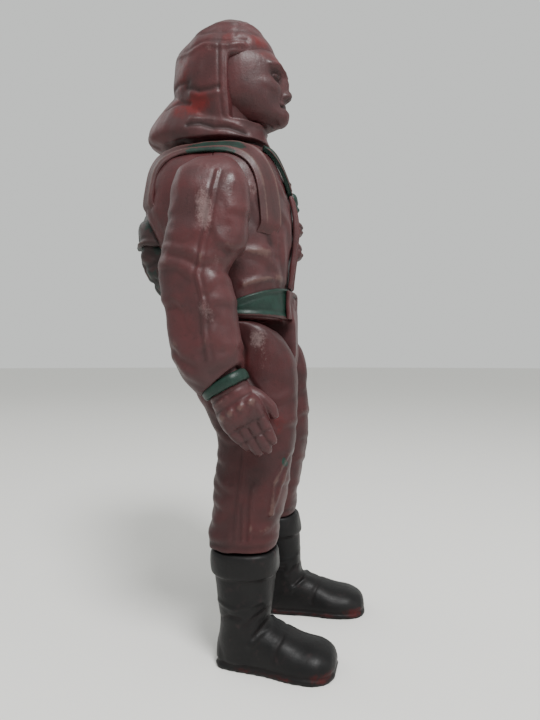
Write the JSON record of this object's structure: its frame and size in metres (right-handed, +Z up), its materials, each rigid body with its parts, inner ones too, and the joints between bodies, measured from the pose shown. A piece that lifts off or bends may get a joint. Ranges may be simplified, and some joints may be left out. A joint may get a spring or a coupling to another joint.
{
  "type": "toy action figure",
  "caption": "Jointed toy figure of a hooded pilot in a flight suit with harness, belt, back pack and boots; it stands on flat soles and turns at neck, shoulders and hips.",
  "frame": {"origin": "on the floor under the middle of the standing figure's outline", "axes": "+Z up from the soles, -Y the way the face looks, +X towards the figure's left hand"},
  "size_m": [0.039, 0.0348, 0.0954],
  "materials": {
    "body_plastic": "semi-gloss moulded plastic, worn paint",
    "leg_vinyl": "semi-gloss soft vinyl",
    "green_paint": "dark green paint, worn at the edges",
    "boot_vinyl": "semi-gloss black paint on soft vinyl",
    "peg_plastic": "natural moulded plastic"
  },
  "bodies": {
    "torso": {"torso_front": "body_plastic", "torso_back": "body_plastic", "neck_peg": "peg_plastic", "right_shoulder_peg": "peg_plastic", "left_shoulder_peg": "peg_plastic", "hip_axle": "peg_plastic", "belt": "green_paint", "belt_buckle": "body_plastic", "right_belt_keeper": "body_plastic", "left_belt_keeper": "body_plastic", "right_harness_strap": "green_paint", "left_harness_strap": "green_paint", "zip_flap": "body_plastic", "collar_trim": "green_paint", "chest_pouch_top": "green_paint", "chest_pouch_middle": "body_plastic", "chest_pouch_bottom": "body_plastic", "backpack_bag": "green_paint", "backpack_lid": "green_paint"},
    "head": {"head": "body_plastic", "hood": "body_plastic"},
    "right_arm": {"right_arm": "body_plastic", "right_cuff": "green_paint", "right_hand": "body_plastic"},
    "right_leg": {"right_leg": "leg_vinyl", "right_boot": "boot_vinyl"},
    "left_arm": {"left_arm": "body_plastic", "left_cuff": "green_paint", "left_hand": "body_plastic"},
    "left_leg": {"left_leg": "leg_vinyl", "left_boot": "boot_vinyl"}
  },
  "joints": [
    {"name": "neck_swivel", "type": "hinge", "parent": "torso", "child": "head", "pos_m": [0, 0.00428, 0.0752], "axis": [0, 0, 1], "range_deg": [-60, 60]},
    {"name": "right_shoulder", "type": "hinge", "parent": "torso", "child": "right_arm", "pos_m": [0, 0.00282, 0.0645], "axis": [-1, 0, 0], "continuous": true},
    {"name": "left_shoulder", "type": "hinge", "parent": "torso", "child": "left_arm", "pos_m": [0, 0.00282, 0.0645], "axis": [-1, 0, 0], "continuous": true},
    {"name": "right_hip", "type": "hinge", "parent": "torso", "child": "right_leg", "pos_m": [0, -0.00048, 0.0404], "axis": [-1, 0, 0], "range_deg": [-45, 90]},
    {"name": "left_hip", "type": "hinge", "parent": "torso", "child": "left_leg", "pos_m": [0, -0.00048, 0.0404], "axis": [-1, 0, 0], "range_deg": [-45, 90]}
  ]
}
